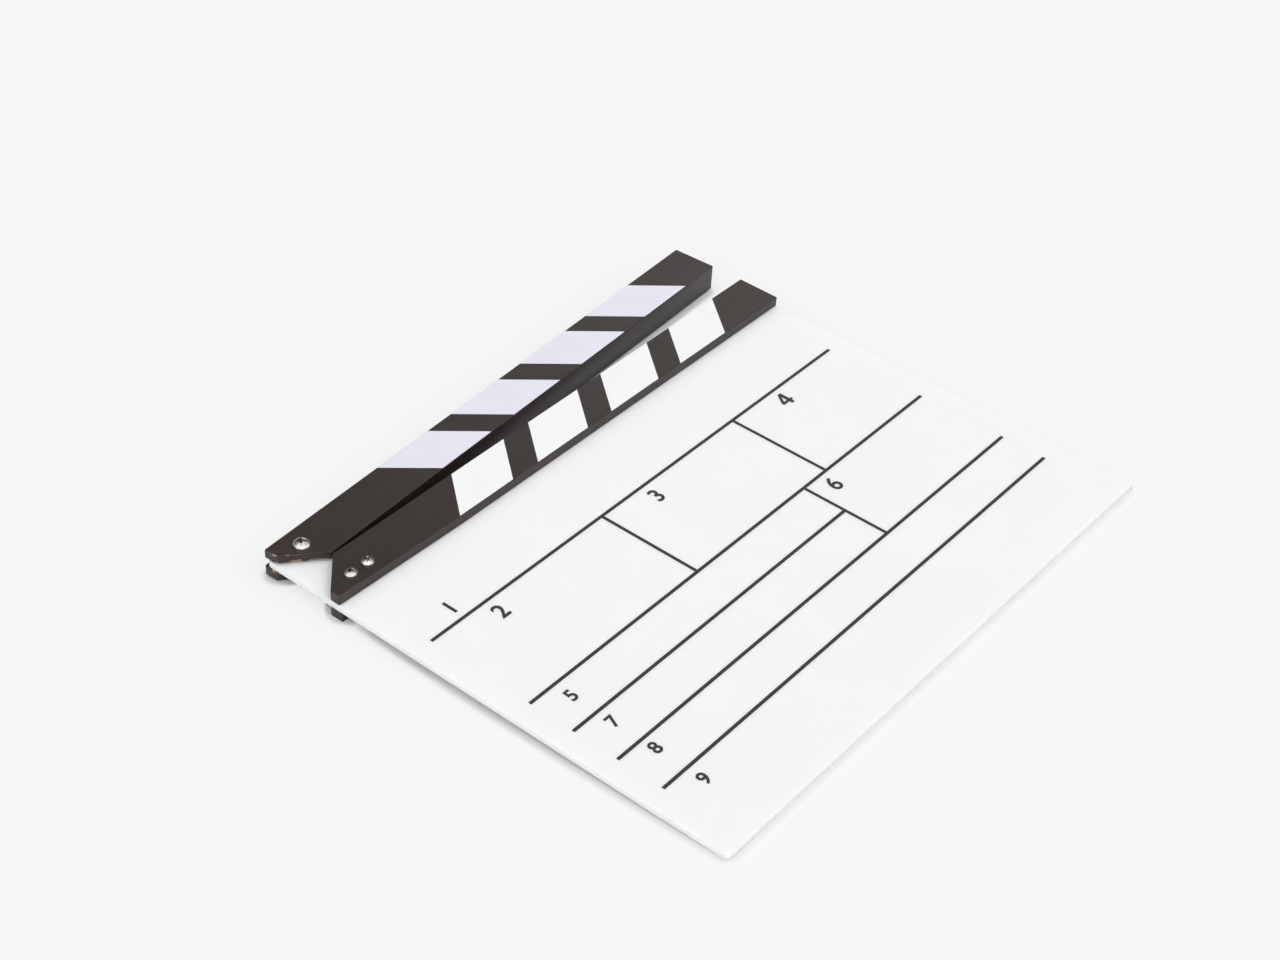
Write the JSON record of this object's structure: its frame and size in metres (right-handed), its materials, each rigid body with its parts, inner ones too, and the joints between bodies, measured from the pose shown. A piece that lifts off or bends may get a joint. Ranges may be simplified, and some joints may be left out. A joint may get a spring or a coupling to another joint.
{
  "type": "clapperboard",
  "caption": "Flat white slate held between black wooden strips, with a striped clapper stick that swings on a screw hinge at its top corner.",
  "frame": {"origin": "on the fixed stick's back face, in the middle of the slate's width and of the stick's", "axes": "+X along the sticks from hinge to tip, +Y from the slate towards the clapper, +Z out of the written face"},
  "size_m": [0.2988, 0.2621, 0.0164],
  "materials": {
    "acrylic": "white acrylic sheet, smooth",
    "ink": "dark printing ink",
    "painted_wood": "wood in satin black paint",
    "lower_stripe": "white film",
    "upper_stripe": "faintly lilac white film",
    "nickel": "bright nickel plate",
    "fibre": "vulcanised fibre",
    "tape": "bonding tape"
  },
  "bodies": {
    "slate": {"slate_board": "acrylic", "printed_rules": "ink", "lower_stick_front": "painted_wood", "lower_stick_rear": "painted_wood", "bond_front": "tape", "bond_rear": "tape", "lower_stripe_1": "lower_stripe", "lower_stripe_2": "lower_stripe", "lower_stripe_3": "lower_stripe", "lower_stripe_4": "lower_stripe", "stick_screw_left": "nickel", "stick_screw_right": "nickel", "stick_nut_left": "nickel", "stick_nut_right": "nickel"},
    "clapper": {"upper_stick": "painted_wood", "upper_stripe_1": "upper_stripe", "upper_stripe_2": "upper_stripe", "upper_stripe_3": "upper_stripe", "upper_stripe_4": "upper_stripe", "pivot_screw": "nickel", "pivot_nut": "nickel", "pivot_washer": "nickel", "pivot_spacer_front": "fibre", "pivot_spacer_rear": "fibre"}
  },
  "joints": [
    {"name": "clapper_hinge", "type": "hinge", "parent": "slate", "child": "clapper", "pos_m": [-0.13675, 0.0244, 0.00665], "axis": [0, 0, 1], "range_deg": [-3.35, 130]}
  ]
}
